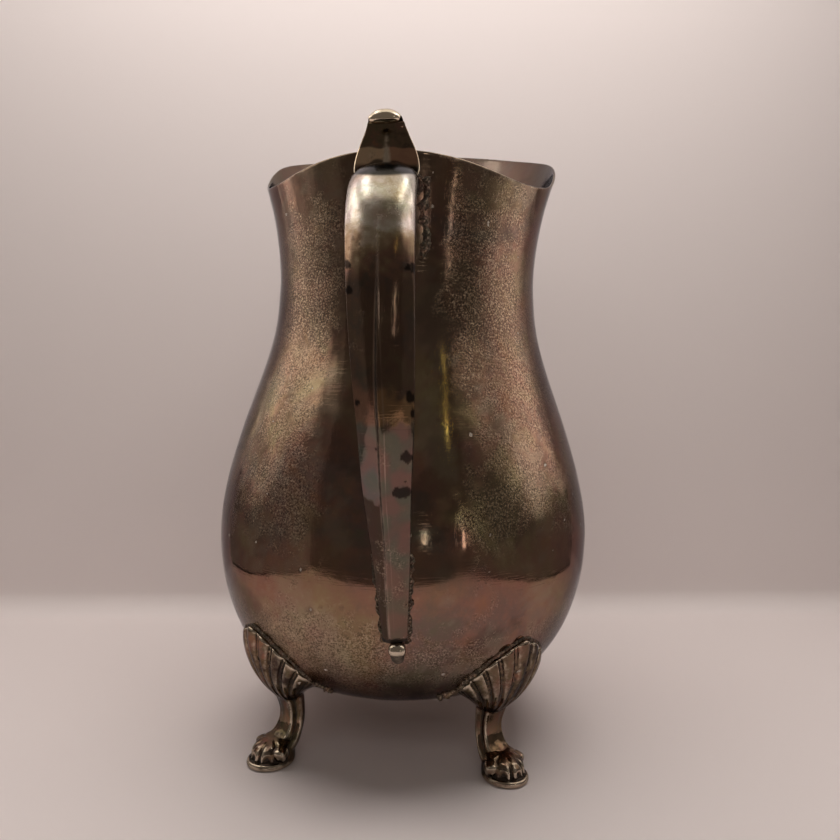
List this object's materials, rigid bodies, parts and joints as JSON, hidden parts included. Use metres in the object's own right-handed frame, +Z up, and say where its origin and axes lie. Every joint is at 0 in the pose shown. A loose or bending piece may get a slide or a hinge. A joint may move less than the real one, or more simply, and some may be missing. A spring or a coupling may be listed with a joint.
{
  "type": "silver-plate water pitcher",
  "caption": "Tarnished silver-plate water pitcher: pear-shaped vessel with a flared pouring lip and a hollow keeled handle with a thumb leaf, standing on cast shell-kneed paw feet.",
  "frame": {"origin": "on the plane that the feet stand on, at the vessel's axis", "axes": "+Z up along the vessel's axis, +Y towards the spout, -Y towards the handle, +X to the right as seen from behind the handle"},
  "size_m": [0.152, 0.1846, 0.256],
  "materials": {
    "sheet_silver": "silver plate, polished once, heavily tarnished brown",
    "handle_silver": "silver plate, tarnished, worn bright where it is held",
    "cast_silver": "plated casting, dark in the grooves and worn on the high points",
    "solder": "dull soft solder, discoloured"
  },
  "bodies": {
    "root": {"vessel": "sheet_silver", "handle_outer_half": "handle_silver", "handle_inner_half": "handle_silver", "thumb_leaf": "cast_silver", "tail_scroll": "cast_silver", "handle_root_solder": "solder", "handle_tail_solder": "solder", "leg_front_left": "cast_silver", "leg_front_right": "cast_silver", "leg_rear_left": "cast_silver", "leg_rear_right": "cast_silver", "leg_solder_front_left": "solder", "leg_solder_front_right": "solder", "leg_solder_rear_left": "solder", "leg_solder_rear_right": "solder"}
  },
  "joints": []
}
